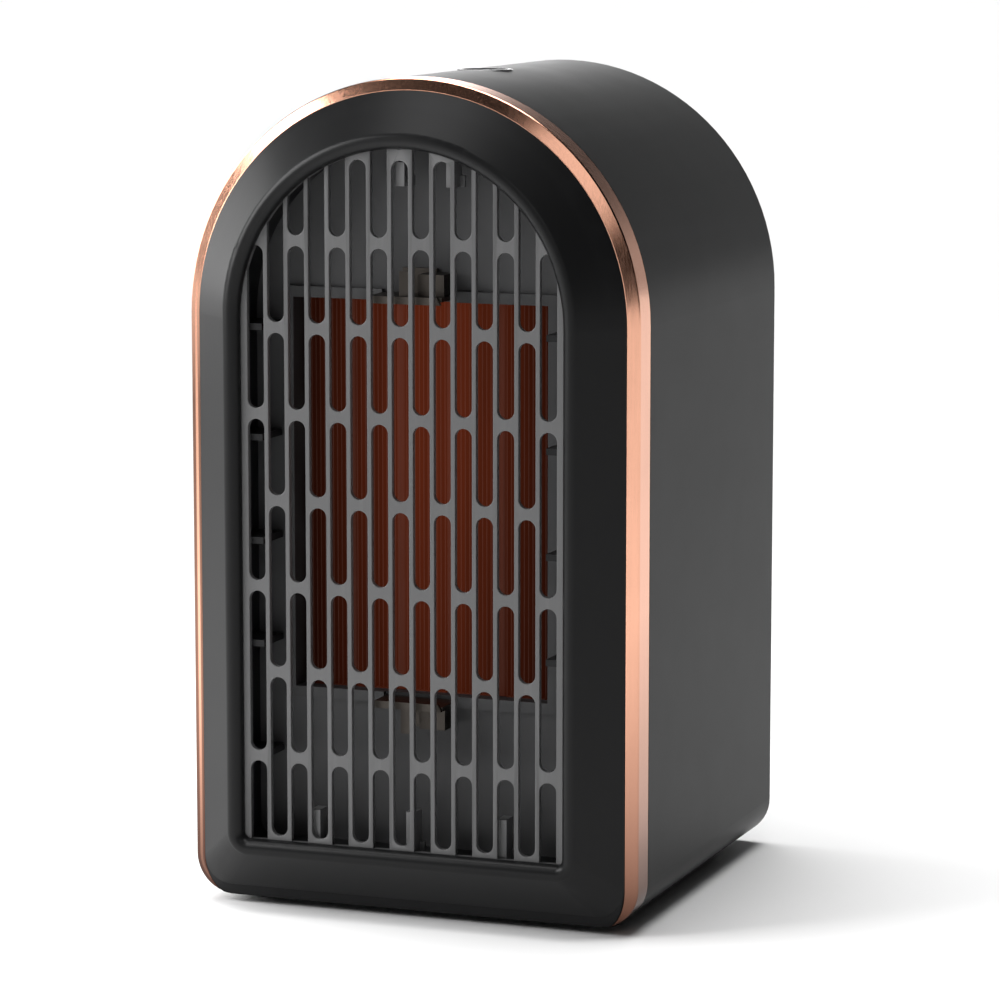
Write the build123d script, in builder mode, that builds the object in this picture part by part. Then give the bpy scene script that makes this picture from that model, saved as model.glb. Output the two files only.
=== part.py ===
from build123d import *
import math
import os

# Ceramic desk heater.  Millimetres, +Z up, front towards -Y.
# Origin: middle of the footprint, on the table top.

# overall size
HEIGHT = 230.0
HALF_WIDTH = 65.0
FRONT_Y = -67.0
BACK_Y = 67.0
FOOT_HEIGHT = 2.4
CORNER_RADIUS = 11.0
ARCH_Z = HEIGHT - HALF_WIDTH

# front section, as insets from the outer outline
TRIM_REAR_Y = -47.3
TRIM_FRONT_Y = -55.85
TRIM_INSET = 3.33
TRIM_TIP_Y = -57.66
TRIM_WALL = 1.2
ROLL_INSET = 15.81
ROLL_RADIUS = 2.67
ROLL_Y = FRONT_Y + ROLL_RADIUS
BAND_INSET = 14.14
BAND_Y = -66.4
WINDOW_INSET = ROLL_INSET + ROLL_RADIUS
WINDOW_CORNER = 1.5
BAND_CORNER = WINDOW_CORNER + WINDOW_INSET - BAND_INSET
DUCT_INSET = 16.5

RIB_LEVELS = [44.0, 75.3, 103.8, 132.2, 162.4]
RIB_INNER_X = 41.0
RIB_BACK_Y = -49.2

# outlet grille
GRILLE_Y = -64.16
GRILLE_THICK = 1.6
SLOT_PITCH = 6.025
SLOT_WIDTH = 4.85
SLOT_PERIOD = 47.31
SLOT_BRIDGE = 2.93
SLOT_COLUMNS = 15
SLOT_MID_Z = 115.3
SLOT_ROWS = 6
# snap hooks behind the grille: middle in X, lower and upper ends
HOOKS = [(-26.0, 19.6, 30.0), (2.0, 19.6, 31.5), (28.5, 19.6, 31.5), (-0.5, 201.5, 208.0), (14.0, 201.5, 208.0)]
HOOK_WIDTH = 2.6
HOOK_DEPTH = 5.0
HOOK_BARB = 1.2

# housing
WALL = 2.4
LIP_INSET = 3.3
FIT = 0.1
CLEAR = 0.3
REAR_COVER_Y = 63.0
REAR_COVER_THICK = 3.0
REAR_BOSSES = [(37.0, 209.0), (-37.0, 209.0), (57.5, 24.0), (-57.5, 24.0)]
BOSS_RADIUS = 5.4
PILOT_RADIUS = 1.3
SCREW_RADIUS = 1.3
SCREW_HEAD_RADIUS = 2.9
SCREW_HEAD = 1.8

# base
BASE_HALF_X = 42.0
BASE_HALF_Y = 43.0
BASE_THICK = 2.2
BASE_TOP = FOOT_HEIGHT + BASE_THICK
BASE_SCREWS = [(37.5, 38.8), (-37.5, 38.8), (37.5, -38.8), (-37.5, -38.8)]
FEET = [(50.0, 42.0), (-50.0, 42.0), (50.0, -42.0), (-50.0, -42.0)]
FOOT_RADIUS = 5.5
FOOT_STEM = 2.0
TIP_Y = 32.0
TIP_RADIUS = 3.0

# heater core
CORE_Z = 115.65
WINDOW_HALF_X = 37.0
WINDOW_HALF_Z = 54.0
BORDER_WIDTH = 3.0
BORDER_RISE = 1.5
DUCT_HALF_Z = 59.0
FRAME_Y = -48.7
FRAME_THICK = 2.0
CORE_FRONT_Y = -45.5
CORE_BACK_Y = -31.5
FIN_PACKS = 5
FIN_PACK_WIDTH = 11.6
TUBE_WIDTH = 3.0
FIN_FOIL = 0.3
FIN_CELLS = 9
FIN_ROWS = 1
CAP_HEIGHT = 5.0
FRAME_SCREWS = [(55.1, 148.0), (-55.1, 148.0), (55.1, 62.0), (-55.1, 62.0)]
SHROUD_POSTS = [(50.0, 170.0), (-50.0, 170.0), (50.0, 55.0), (-50.0, 55.0)]

# fan and motor
SHROUD_Y = -20.0
SHROUD_THICK = 2.0
SHROUD_RING_RADIUS = 49.0
SHROUD_RING_WALL = 2.0
SHROUD_BACK_Y = 2.0
LUG_RADIUS = 53.5
LUG_SIZE = 4.0
FAN_FRONT_Y = -17.0
FAN_BACK_Y = -1.0
FAN_TIP = 46.5
FAN_HUB = 14.0
FAN_BLADES = 7
SHAFT_RADIUS = 2.0
SHAFT_FIT = 0.05
MOTOR_RADIUS = 21.0
MOTOR_FRONT_Y = 4.0
MOTOR_BACK_Y = 26.0
MOUNT_THICK = 2.0
MOTOR_SCREW_RING = 15.0

BEARING_RADIUS = 5.0
STONE_PITCH = 25.5
STONE_COUNT = 4
CLIP_HALF = 10.5
CLIP_FRONT_Y = -60.4
CLIP_TAB_HALF = 1.7
CLIP_GUSSET = (2.6, 10.0)
CUTOFF_POINT = (0.0, 190.0)
FUSE_POINT = (0.0, -40.0, 179.6)
WIRE_PASS_Z = 200.0
WIRE_PASS_LOW_Z = 40.0

# rear intake
INTAKE_LOW_Z = 46.0
INTAKE_PITCH_Z = 6.4
INTAKE_ROWS = 26
INTAKE_REACH = 50.0
INTAKE_RIB = 3.4
INTAKE_WIDTH = 3.2
GLAND_POINT = (38.0, 24.0)
GLAND_RADIUS = 5.5
GLAND_BORE = 3.4
SCREEN_REACH = 51.5
SCREEN_PITCH = 10.0
SCREEN_WIRE = 1.2
SCREEN_THICK = 0.8
SCREEN_COLUMNS = 9
SCREEN_ROWS = 18
SCREEN_MID_Z = 124.0

# controls
BOARD_Z = 212.4
BOARD_THICK = 1.6
BOARD_HALF_X = 24.0
BOARD_Y = 5.0
BOARD_HALF_Y = 22.0
BOARD_POSTS = [(19.0, -12.0), (-19.0, -12.0), (19.0, 22.0), (-19.0, 22.0)]
CONNECTOR_X = (-10.0, 0.0, 10.0)
CONNECTOR_Y = -12.8
BUTTON_RING_RADIUS = 7.9
BUTTON_RADIUS = 6.4
BUTTON_FIT = 0.08
BUTTON_TOP = HEIGHT - 0.35

os.makedirs("parts", exist_ok=True)


def at_y(y):
    """Upright plane at depth y; its own x and y are the world X and Z."""
    return Plane.XZ.offset(-y)


def arch_face(inset, corner):
    """Arched front outline, moved inwards by inset, with rounded lower corners."""
    half = HALF_WIDTH - inset
    low = FOOT_HEIGHT + inset
    with BuildSketch() as face:
        with BuildLine():
            floor = Line((-(half - corner), low), (half - corner, low))
            right_corner = JernArc(floor @ 1, floor % 1, corner, 90)
            right_leg = Line(right_corner @ 1, (half, ARCH_Z))
            crown = JernArc(right_leg @ 1, right_leg % 1, half, 180)
            left_leg = Line(crown @ 1, (-half, low + corner))
            JernArc(left_leg @ 1, left_leg % 1, corner, 90)
        make_face()
    return face.sketch


def arch_prism(inset, corner, front, back):
    """Arched solid between two depths."""
    with BuildPart() as part:
        with BuildSketch(at_y(back)):
            add(arch_face(inset, corner))
        extrude(amount=back - front)
    return part.part


def arch_loft(inset_a, corner_a, y_a, inset_b, corner_b, y_b):
    """Arched solid whose outline changes evenly from one depth to the other."""
    with BuildPart() as part:
        with BuildSketch(at_y(y_a)):
            add(arch_face(inset_a, corner_a))
        with BuildSketch(at_y(y_b)):
            add(arch_face(inset_b, corner_b))
        loft(ruled=True)
    return part.part


def block(x0, x1, y0, y1, z0, z1):
    """Rectangular solid between corner values."""
    with BuildPart() as part:
        with BuildSketch(Plane.XY.offset(z0)):
            with Locations(((x0 + x1) / 2, (y0 + y1) / 2)):
                Rectangle(x1 - x0, y1 - y0)
        extrude(amount=z1 - z0)
    return part.part


def rods_y(points, radius, front, back):
    """Round rods along the depth at the given (x, z) points."""
    with BuildPart() as part:
        with BuildSketch(at_y(back)):
            with Locations(*points):
                Circle(radius)
        extrude(amount=back - front)
    return part.part


def rods_z(points, radius, low, high):
    """Round upright rods at the given (x, y) points."""
    with BuildPart() as part:
        with BuildSketch(Plane.XY.offset(low)):
            with Locations(*points):
                Circle(radius)
        extrude(amount=high - low)
    return part.part


def screws_y(points, seat, length, outward):
    """Pan-head screws along the depth; the head stands on seat, towards outward (+1 back, -1 front)."""
    with BuildPart() as part:
        head = sorted((seat, seat + outward * SCREW_HEAD))
        shank = sorted((seat, seat - outward * length))
        add(rods_y(points, SCREW_HEAD_RADIUS, head[0], head[1]))
        top = head[1] if outward > 0 else head[0]
        rim = part.edges().filter_by(GeomType.CIRCLE).filter_by_position(Axis.Y, top - 0.01, top + 0.01)
        fillet(rim, SCREW_HEAD * 0.45)
        add(rods_y(points, SCREW_RADIUS, shank[0], shank[1]))
        slot_depth = sorted((top, top - outward * SCREW_HEAD * 0.5))
        with BuildSketch(at_y(slot_depth[1])):
            with Locations(*points):
                Rectangle(SCREW_HEAD_RADIUS * 1.1, 0.7)
                Rectangle(0.7, SCREW_HEAD_RADIUS * 1.1)
        extrude(amount=slot_depth[1] - slot_depth[0], mode=Mode.SUBTRACT)
    return part.part


def screws_z(points, seat, length):
    """Pan-head screws driven upwards; the head hangs below seat."""
    with BuildPart() as part:
        add(rods_z(points, SCREW_HEAD_RADIUS, seat - SCREW_HEAD, seat))
        rim = part.edges().filter_by(GeomType.CIRCLE)
        rim = rim.filter_by_position(Axis.Z, seat - SCREW_HEAD - 0.01, seat - SCREW_HEAD + 0.01)
        fillet(rim, SCREW_HEAD * 0.45)
        add(rods_z(points, SCREW_RADIUS, seat, seat + length))
        with BuildSketch(Plane.XY.offset(seat - SCREW_HEAD)):
            with Locations(*points):
                Rectangle(SCREW_HEAD_RADIUS * 1.1, 0.7)
                Rectangle(0.7, SCREW_HEAD_RADIUS * 1.1)
        extrude(amount=SCREW_HEAD * 0.5, mode=Mode.SUBTRACT)
    return part.part


def trim_keep(gap):
    """Front outline inside the bright strip; it runs out past the lower corners, so the strip tapers away."""
    half = HALF_WIDTH - TRIM_INSET - gap
    corner_x = HALF_WIDTH - CORNER_RADIUS
    corner_z = FOOT_HEIGHT + CORNER_RADIUS
    drop = CORNER_RADIUS + 0.6 - gap
    with BuildPart() as part:
        with BuildSketch(at_y(TRIM_REAR_Y)):
            with Locations((0, ARCH_Z)):
                Circle(half)
            with Locations((0, (corner_z + ARCH_Z) / 2)):
                Rectangle(2 * half, ARCH_Z - corner_z)
            with Locations((0, corner_z - drop / 2)):
                Rectangle(2 * corner_x, drop)
            with Locations((corner_x, corner_z), (-corner_x, corner_z)):
                Ellipse(half - corner_x, drop)
        extrude(amount=TRIM_REAR_Y - TRIM_TIP_Y + 2)
    return part.part


def front_rim():
    """Outer front rim of the housing: straight side facet and forward chamfer."""
    with BuildPart() as part:
        add(arch_prism(0, CORNER_RADIUS, TRIM_FRONT_Y, TRIM_REAR_Y))
        add(arch_loft(0, CORNER_RADIUS, TRIM_FRONT_Y, TRIM_INSET, CORNER_RADIUS - TRIM_INSET, TRIM_TIP_Y))
    return part.part


# ---------------------------------------------------------------- housing

with BuildPart() as body_shell:
    add(front_rim())
    add(trim_keep(FIT), mode=Mode.INTERSECT)
    add(arch_prism(TRIM_WALL + FIT, CORNER_RADIUS - TRIM_WALL - FIT, -54.9, TRIM_REAR_Y + 1))
    add(arch_prism(0, CORNER_RADIUS, TRIM_REAR_Y, BACK_Y))
    rear_rim = body_shell.edges().filter_by_position(Axis.Y, BACK_Y - 0.01, BACK_Y + 0.01)
    fillet(rear_rim, 1.2)
    add(arch_prism(LIP_INSET, CORNER_RADIUS - LIP_INSET, TRIM_TIP_Y - 1, TRIM_REAR_Y), mode=Mode.SUBTRACT)
    add(arch_prism(WALL, CORNER_RADIUS - WALL, TRIM_REAR_Y, BACK_Y), mode=Mode.SUBTRACT)
    # screw posts for the rear cover
    add(rods_y(REAR_BOSSES, BOSS_RADIUS, 47.0, REAR_COVER_Y))
    add(rods_y(REAR_BOSSES, PILOT_RADIUS, 50.0, REAR_COVER_Y), mode=Mode.SUBTRACT)
    # posts for the control board, hanging from the crown
    add(rods_z(BOARD_POSTS, 2.6, BOARD_Z + BOARD_THICK, ARCH_Z + 61.0))
    add(rods_z(BOARD_POSTS, PILOT_RADIUS - 0.3, BOARD_Z + BOARD_THICK, BOARD_Z + 8), mode=Mode.SUBTRACT)
    # button well
    add(rods_z([(0, 0)], BUTTON_RING_RADIUS + 1.6, 223.0, HEIGHT - 1.2))
    add(rods_z([(0, 0)], BUTTON_RING_RADIUS + FIT, 225.0, HEIGHT + 1), mode=Mode.SUBTRACT)
    add(rods_z([(0, 0)], BUTTON_RADIUS - 0.8, 222.0, 226.0), mode=Mode.SUBTRACT)
    # ledge around the base opening, base opening, foot holes
    add(block(-46, 46, -46.4, 48, BASE_TOP, BASE_TOP + 2.2))
    add(block(-BASE_HALF_X - FIT, BASE_HALF_X + FIT, -BASE_HALF_Y - FIT, BASE_HALF_Y + FIT, 0, BASE_TOP),
        mode=Mode.SUBTRACT)
    add(rods_z(BASE_SCREWS, 3.6, BASE_TOP, BASE_TOP + 7))
    add(block(-33, 33, -34, 34, BASE_TOP, BASE_TOP + 8), mode=Mode.SUBTRACT)
    add(block(-16, 16, 30, 42, BASE_TOP, BASE_TOP + 8), mode=Mode.SUBTRACT)
    add(rods_z(BASE_SCREWS, PILOT_RADIUS, BASE_TOP, BASE_TOP + 6), mode=Mode.SUBTRACT)
    add(rods_z(FEET, FOOT_STEM, FOOT_HEIGHT - 1, BASE_TOP + 3), mode=Mode.SUBTRACT)
body_shell.part.label = "body_shell"
export_step(body_shell.part, "parts/body_shell.step")

with BuildPart() as trim_strip:
    add(front_rim())
    add(arch_prism(TRIM_WALL, CORNER_RADIUS - TRIM_WALL, TRIM_FRONT_Y + 0.6, TRIM_REAR_Y), mode=Mode.SUBTRACT)
    add(arch_loft(TRIM_WALL, CORNER_RADIUS - TRIM_WALL, TRIM_FRONT_Y + 0.6,
                  TRIM_INSET, CORNER_RADIUS - TRIM_INSET, TRIM_TIP_Y + 1.3), mode=Mode.SUBTRACT)
    add(trim_keep(0), mode=Mode.SUBTRACT)
trim_strip.part.label = "trim_strip"
export_step(trim_strip.part, "parts/trim_strip.step")

with BuildSketch(at_y(ROLL_Y)) as roll_outline:
    add(arch_face(ROLL_INSET, WINDOW_CORNER + ROLL_RADIUS))
roll_path = roll_outline.sketch.wires()[0]

with BuildPart() as front_bezel:
    add(arch_loft(TRIM_INSET, CORNER_RADIUS - TRIM_INSET, TRIM_TIP_Y, BAND_INSET, BAND_CORNER, BAND_Y))
    add(arch_loft(4.59, CORNER_RADIUS - 4.59, -56.10, 14.5, BAND_CORNER, -64.11), mode=Mode.SUBTRACT)
    # skirt that plugs into the housing
    add(arch_prism(3.6, CORNER_RADIUS - 3.6, TRIM_TIP_Y, -49.2))
    add(arch_prism(5.4, CORNER_RADIUS - 5.4, TRIM_TIP_Y, -49.2), mode=Mode.SUBTRACT)
    # bosses for the heater frame
    add(rods_y(FRAME_SCREWS, 3.4, -59.9, FRAME_Y))
    add(rods_y(FRAME_SCREWS, PILOT_RADIUS, -56.0, FRAME_Y), mode=Mode.SUBTRACT)
    # air duct behind the window
    add(arch_prism(14.5, WINDOW_CORNER + 4, ROLL_Y - 1.5, FRAME_Y))
    add(arch_prism(ROLL_INSET, WINDOW_CORNER + ROLL_RADIUS, FRONT_Y - 1, FRAME_Y), mode=Mode.SUBTRACT)
    with BuildSketch(at_y(FRAME_Y)):
        add(arch_face(14.5, WINDOW_CORNER + 4))
        add(arch_face(DUCT_INSET, WINDOW_CORNER + 2), mode=Mode.SUBTRACT)
    extrude(amount=FRAME_Y - GRILLE_Y)
    # rounded bead around the window
    with BuildSketch(Plane(origin=roll_path @ 0, z_dir=roll_path % 0)):
        Circle(ROLL_RADIUS)
    sweep(path=roll_path)
    add(arch_prism(DUCT_INSET, WINDOW_CORNER + 2, GRILLE_Y, FRAME_Y), mode=Mode.SUBTRACT)
    # short side ribs the grille rests on
    for rib_z in RIB_LEVELS:
        for side in (-1, 1):
            inner = side * RIB_INNER_X
            outer = side * (HALF_WIDTH - DUCT_INSET + 0.5)
            add(block(min(inner, outer), max(inner, outer), GRILLE_Y + GRILLE_THICK, RIB_BACK_Y,
                      rib_z - 0.9, rib_z + 0.9))
front_bezel.part.label = "front_bezel"
export_step(front_bezel.part, "parts/front_bezel.step")


def slot_centres(parity):
    """Heights of the slot centres; odd columns sit half a period higher than even ones."""
    first = SLOT_MID_Z - SLOT_PERIOD * (1.5 if parity else 2.0)
    return [first + SLOT_PERIOD * step for step in range(SLOT_ROWS)]


with BuildSketch() as slot_field:
    for column in range(SLOT_COLUMNS):
        column_x = (column - (SLOT_COLUMNS - 1) / 2) * SLOT_PITCH
        with Locations(*[(column_x, z) for z in slot_centres(column % 2)]):
            SlotOverall(SLOT_PERIOD - SLOT_BRIDGE, SLOT_WIDTH, rotation=90)
    add(arch_face(WINDOW_INSET, WINDOW_CORNER), mode=Mode.INTERSECT)

with BuildPart() as front_grille:
    with BuildSketch(at_y(GRILLE_Y + GRILLE_THICK)):
        add(arch_face(DUCT_INSET + FIT, WINDOW_CORNER + 1.9))
        add(slot_field.sketch, mode=Mode.SUBTRACT)
    extrude(amount=GRILLE_THICK)
    grille_back = GRILLE_Y + GRILLE_THICK
    for hook_x, hook_low, hook_high in HOOKS:
        add(block(hook_x - HOOK_WIDTH / 2, hook_x + HOOK_WIDTH / 2, grille_back, grille_back + HOOK_DEPTH,
                  hook_low, hook_high))
        add(block(hook_x - HOOK_WIDTH / 2 - HOOK_BARB, hook_x + HOOK_WIDTH / 2 + HOOK_BARB,
                  grille_back + HOOK_DEPTH - HOOK_BARB, grille_back + HOOK_DEPTH, hook_low, hook_low + 3))
front_grille.part.label = "front_grille"
export_step(front_grille.part, "parts/front_grille.step")

def intake_slots():
    """Rows of level slots, in pairs each side of the middle rib, that follow the arched outline."""
    with BuildSketch() as slots:
        for row in range(INTAKE_ROWS):
            z = INTAKE_LOW_Z + row * INTAKE_PITCH_Z
            rise = max(0.0, z - ARCH_Z)
            reach = math.sqrt(INTAKE_REACH ** 2 - rise ** 2)
            length = (reach - 1.5 * INTAKE_RIB) / 2
            inner = INTAKE_RIB / 2 + length / 2
            outer = INTAKE_RIB * 1.5 + length * 1.5
            with Locations((inner, z), (-inner, z), (outer, z), (-outer, z)):
                SlotOverall(length, INTAKE_WIDTH)
    return slots.sketch


with BuildPart() as rear_cover:
    rear_back = REAR_COVER_Y + REAR_COVER_THICK
    with BuildSketch(at_y(rear_back)):
        add(arch_face(WALL + CLEAR, CORNER_RADIUS - WALL - CLEAR))
        add(intake_slots(), mode=Mode.SUBTRACT)
    extrude(amount=REAR_COVER_THICK)
    add(rods_y(REAR_BOSSES, SCREW_RADIUS + 0.2, REAR_COVER_Y, rear_back), mode=Mode.SUBTRACT)
    add(rods_y(REAR_BOSSES, SCREW_HEAD_RADIUS + 0.4, rear_back - 1.4, rear_back), mode=Mode.SUBTRACT)
    add(rods_y([GLAND_POINT], GLAND_RADIUS + FIT, REAR_COVER_Y, rear_back), mode=Mode.SUBTRACT)
rear_cover.part.label = "rear_cover"
export_step(rear_cover.part, "parts/rear_cover.step")

with BuildPart() as rear_screws:
    add(screws_y(REAR_BOSSES, rear_back - 1.4, 10.0, 1))
rear_screws.part.label = "rear_screws"
export_step(rear_screws.part, "parts/rear_screws.step")

with BuildPart() as cord_gland:
    add(rods_y([GLAND_POINT], GLAND_RADIUS, REAR_COVER_Y - 2.5, rear_back))
    add(rods_y([GLAND_POINT], GLAND_RADIUS + 1.8, REAR_COVER_Y - 2.5, REAR_COVER_Y))
    add(rods_y([GLAND_POINT], GLAND_BORE, REAR_COVER_Y - 3, rear_back + 1), mode=Mode.SUBTRACT)
cord_gland.part.label = "cord_gland"
export_step(cord_gland.part, "parts/cord_gland.step")

def screen_cell_fits(spot):
    """True where a whole mesh cell lies inside the arched screen."""
    x = abs(spot.position.X) + SCREEN_PITCH / 2
    z = max(0.0, spot.position.Y + SCREEN_PITCH / 2 - ARCH_Z)
    low = spot.position.Y - SCREEN_PITCH / 2 > INTAKE_LOW_Z - 5
    return low and math.hypot(x, z) < SCREEN_REACH - 1


with BuildPart() as dust_screen:
    with BuildSketch(at_y(REAR_COVER_Y)):
        with Locations((0, ARCH_Z)):
            Circle(SCREEN_REACH)
        with Locations((0, (ARCH_Z + INTAKE_LOW_Z) / 2 - 3)):
            Rectangle(2 * SCREEN_REACH, ARCH_Z - INTAKE_LOW_Z + 6)
        with Locations((0, SCREEN_MID_Z)):
            with GridLocations(SCREEN_PITCH, SCREEN_PITCH, SCREEN_COLUMNS, SCREEN_ROWS) as cells:
                screen_cells = [spot for spot in cells.locations if screen_cell_fits(spot)]
        with Locations(*screen_cells):
            Rectangle(SCREEN_PITCH - SCREEN_WIRE, SCREEN_PITCH - SCREEN_WIRE, mode=Mode.SUBTRACT)
    extrude(amount=SCREEN_THICK)
dust_screen.part.label = "dust_screen"
export_step(dust_screen.part, "parts/dust_screen.step")

# ---------------------------------------------------------------- base

with BuildPart() as base_plate:
    add(block(-BASE_HALF_X, BASE_HALF_X, -BASE_HALF_Y, BASE_HALF_Y, FOOT_HEIGHT, BASE_TOP))
    fillet(base_plate.edges().filter_by(Axis.Z), 2.0)
    add(rods_z([(0, TIP_Y)], TIP_RADIUS + 0.06, 0, BASE_TOP), mode=Mode.SUBTRACT)
    add(rods_z(BASE_SCREWS, SCREW_RADIUS + 0.2, 0, BASE_TOP), mode=Mode.SUBTRACT)
    add(rods_z(BASE_SCREWS, SCREW_HEAD_RADIUS + 0.3, 0, FOOT_HEIGHT + 1.0), mode=Mode.SUBTRACT)
base_plate.part.label = "base_plate"
export_step(base_plate.part, "parts/base_plate.step")

with BuildPart() as base_screws:
    add(screws_z(BASE_SCREWS, FOOT_HEIGHT + 1.0, 6.0))
base_screws.part.label = "base_screws"
export_step(base_screws.part, "parts/base_screws.step")

with BuildPart() as rubber_feet:
    add(rods_z(FEET, FOOT_RADIUS, 0, FOOT_HEIGHT))
    sole = rubber_feet.edges().filter_by_position(Axis.Z, -0.01, 0.01)
    chamfer(sole, 0.6)
    add(rods_z(FEET, FOOT_STEM - FIT, FOOT_HEIGHT, BASE_TOP + 0.8))
rubber_feet.part.label = "rubber_feet"
export_step(rubber_feet.part, "parts/rubber_feet.step")

with BuildPart() as tip_switch:
    add(block(-9, 9, TIP_Y - 7, TIP_Y + 7, BASE_TOP, BASE_TOP + 24))
    add(rods_z([(0, TIP_Y)], TIP_RADIUS + 2.0, BASE_TOP, BASE_TOP + 16), mode=Mode.SUBTRACT)
    add(rods_z([(0, TIP_Y)], 1.2 + 0.06, BASE_TOP + 16, BASE_TOP + 24), mode=Mode.SUBTRACT)
    add(block(9, 14, TIP_Y - 4, TIP_Y + 4, BASE_TOP, BASE_TOP + 2))
    add(block(-14, -9, TIP_Y - 4, TIP_Y + 4, BASE_TOP, BASE_TOP + 2))
tip_switch.part.label = "tip_switch"
export_step(tip_switch.part, "parts/tip_switch.step")

with BuildPart() as tip_plunger:
    add(rods_z([(0, TIP_Y)], TIP_RADIUS, 0.2, BASE_TOP + 9))
    fillet(tip_plunger.edges().filter_by_position(Axis.Z, 0.19, 0.21), 1.0)
    add(rods_z([(0, TIP_Y)], TIP_RADIUS + 1.5, BASE_TOP + 5.0, BASE_TOP + 7.0))
    add(rods_z([(0, TIP_Y)], 1.2, BASE_TOP + 9, BASE_TOP + 22))
tip_plunger.part.label = "tip_plunger"
export_step(tip_plunger.part, "parts/tip_plunger.step")

# ---------------------------------------------------------------- heater core

window_low = CORE_Z - WINDOW_HALF_Z
window_high = CORE_Z + WINDOW_HALF_Z
core_low = CORE_Z - DUCT_HALF_Z
core_high = CORE_Z + DUCT_HALF_Z

with BuildPart() as heater_frame:
    with BuildSketch(at_y(FRAME_Y + FRAME_THICK)):
        add(arch_face(LIP_INSET + CLEAR, CORNER_RADIUS - LIP_INSET - CLEAR))
        with Locations((0, CORE_Z)):
            Rectangle(2 * WINDOW_HALF_X, 2 * WINDOW_HALF_Z, mode=Mode.SUBTRACT)
        with Locations(*FRAME_SCREWS):
            Circle(SCREW_RADIUS + 0.2, mode=Mode.SUBTRACT)
    extrude(amount=FRAME_THICK)
    # raised border round the window, open where the clips sit
    with BuildSketch(at_y(FRAME_Y)):
        with Locations((0, CORE_Z)):
            Rectangle(2 * (WINDOW_HALF_X + BORDER_WIDTH), 2 * (WINDOW_HALF_Z + BORDER_WIDTH))
            Rectangle(2 * WINDOW_HALF_X, 2 * WINDOW_HALF_Z, mode=Mode.SUBTRACT)
            Rectangle(2 * (CLIP_HALF + CLEAR), 2 * (WINDOW_HALF_Z + BORDER_WIDTH), mode=Mode.SUBTRACT)
    extrude(amount=BORDER_RISE)
    # four-sided duct that holds the element
    with BuildSketch(at_y(SHROUD_Y)):
        with Locations((0, CORE_Z)):
            Rectangle(2 * WINDOW_HALF_X + 5, 2 * DUCT_HALF_Z + 5)
            Rectangle(2 * WINDOW_HALF_X + 1, 2 * DUCT_HALF_Z + 1, mode=Mode.SUBTRACT)
    extrude(amount=SHROUD_Y - FRAME_Y - FRAME_THICK)
    add(block(-26, 26, -42.5, -34.5, core_low - 4, core_low), mode=Mode.SUBTRACT)
    add(rods_y(SHROUD_POSTS, 3.6, FRAME_Y + FRAME_THICK, SHROUD_Y))
    add(rods_y(SHROUD_POSTS, PILOT_RADIUS, SHROUD_Y - 9, SHROUD_Y), mode=Mode.SUBTRACT)
heater_frame.part.label = "heater_frame"
export_step(heater_frame.part, "parts/heater_frame.step")

with BuildPart() as frame_screws:
    add(screws_y(FRAME_SCREWS, FRAME_Y + FRAME_THICK, 8.5, 1))
frame_screws.part.label = "frame_screws"
export_step(frame_screws.part, "parts/frame_screws.step")

fin_low = core_low + CAP_HEIGHT
fin_high = core_high - CAP_HEIGHT
stack_width = FIN_PACKS * FIN_PACK_WIDTH + (FIN_PACKS - 1) * TUBE_WIDTH
pack_centres = [-stack_width / 2 + FIN_PACK_WIDTH / 2 + index * (FIN_PACK_WIDTH + TUBE_WIDTH)
                for index in range(FIN_PACKS)]
tube_centres = [x + (FIN_PACK_WIDTH + TUBE_WIDTH) / 2 for x in pack_centres[:-1]]


with BuildPart() as fin_packs:
    cell_width = (FIN_PACK_WIDTH - 0.1 - FIN_FOIL) / FIN_CELLS
    cell_height = (fin_high - fin_low - 0.4) / FIN_ROWS
    with BuildSketch(at_y(CORE_BACK_Y)):
        with Locations(*[(x, CORE_Z) for x in pack_centres]):
            Rectangle(FIN_PACK_WIDTH - 0.1, fin_high - fin_low)
            with GridLocations(cell_width, cell_height, FIN_CELLS, FIN_ROWS):
                Rectangle(cell_width - FIN_FOIL, cell_height - FIN_FOIL, mode=Mode.SUBTRACT)
    extrude(amount=CORE_BACK_Y - CORE_FRONT_Y)
fin_packs.part.label = "fin_packs"
export_step(fin_packs.part, "parts/fin_packs.step")

with BuildPart() as heating_tubes:
    with BuildSketch(at_y(CORE_BACK_Y)):
        with Locations(*[(x, CORE_Z) for x in tube_centres]):
            Rectangle(TUBE_WIDTH - 0.1, fin_high - fin_low - 0.4)
    extrude(amount=CORE_BACK_Y - CORE_FRONT_Y)
    fillet(heating_tubes.edges().filter_by(Axis.Z), 0.8)
    with BuildSketch(at_y(CORE_BACK_Y - 1.5)):
        with Locations(*[(x, CORE_Z) for x in tube_centres]):
            Rectangle(1.9, fin_high - fin_low)
    extrude(amount=CORE_BACK_Y - CORE_FRONT_Y - 3.0, mode=Mode.SUBTRACT)
heating_tubes.part.label = "heating_tubes"
export_step(heating_tubes.part, "parts/heating_tubes.step")

with BuildPart() as ceramic_stones:
    with BuildSketch(at_y(CORE_BACK_Y - 2.2)):
        for x in tube_centres:
            with Locations((x, CORE_Z)):
                with GridLocations(1, STONE_PITCH, 1, STONE_COUNT):
                    Rectangle(1.5, STONE_PITCH - 2.0)
    extrude(amount=CORE_BACK_Y - CORE_FRONT_Y - 4.4)
ceramic_stones.part.label = "ceramic_stones"
export_step(ceramic_stones.part, "parts/ceramic_stones.step")


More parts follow.
